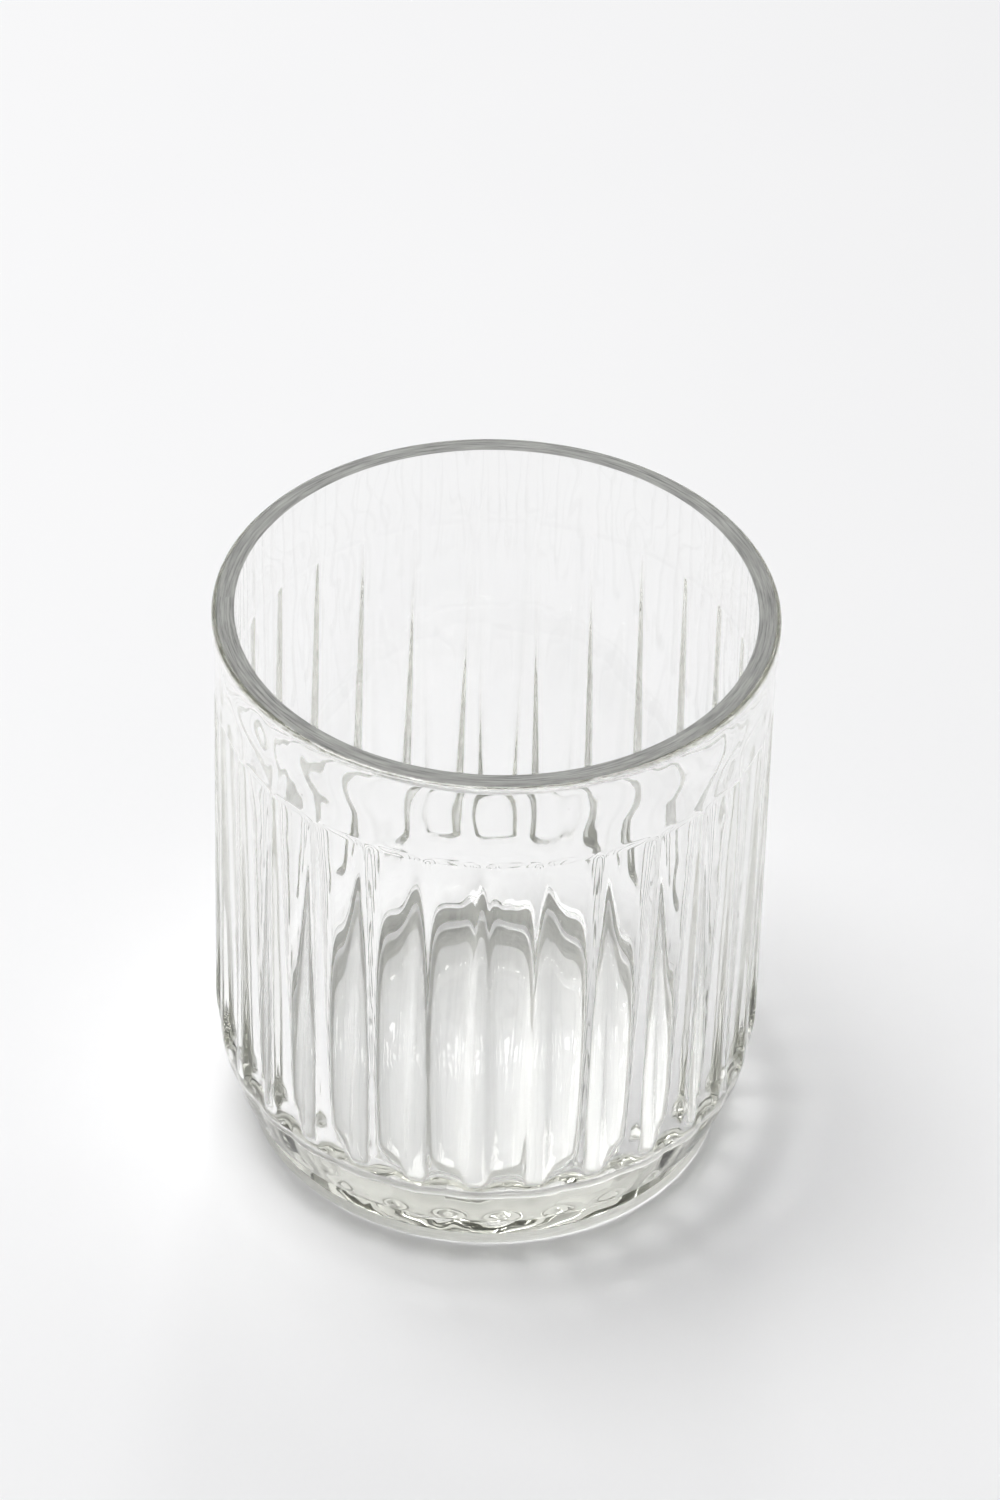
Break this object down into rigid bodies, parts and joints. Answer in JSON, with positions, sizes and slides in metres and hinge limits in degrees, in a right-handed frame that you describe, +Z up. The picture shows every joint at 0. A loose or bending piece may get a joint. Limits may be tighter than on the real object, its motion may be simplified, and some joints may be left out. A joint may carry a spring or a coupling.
{
  "type": "fluted glass tumbler",
  "caption": "Straight-sided clear glass drinking tumbler with arched vertical flutes, a rounded heel, a thick base and a flat ground rim.",
  "frame": {"origin": "centre of the foot's bearing ring, on the table", "axes": "+Z up along the glass's axis, -Y towards the viewer with a ridge between two flutes facing it"},
  "size_m": [0.08, 0.08, 0.09],
  "materials": {
    "clear_glass": "clear fire-polished pressed glass with a faint grey-green cast and a matt ground rim"
  },
  "bodies": {
    "root": {"tumbler_glass": "clear_glass"}
  },
  "joints": []
}
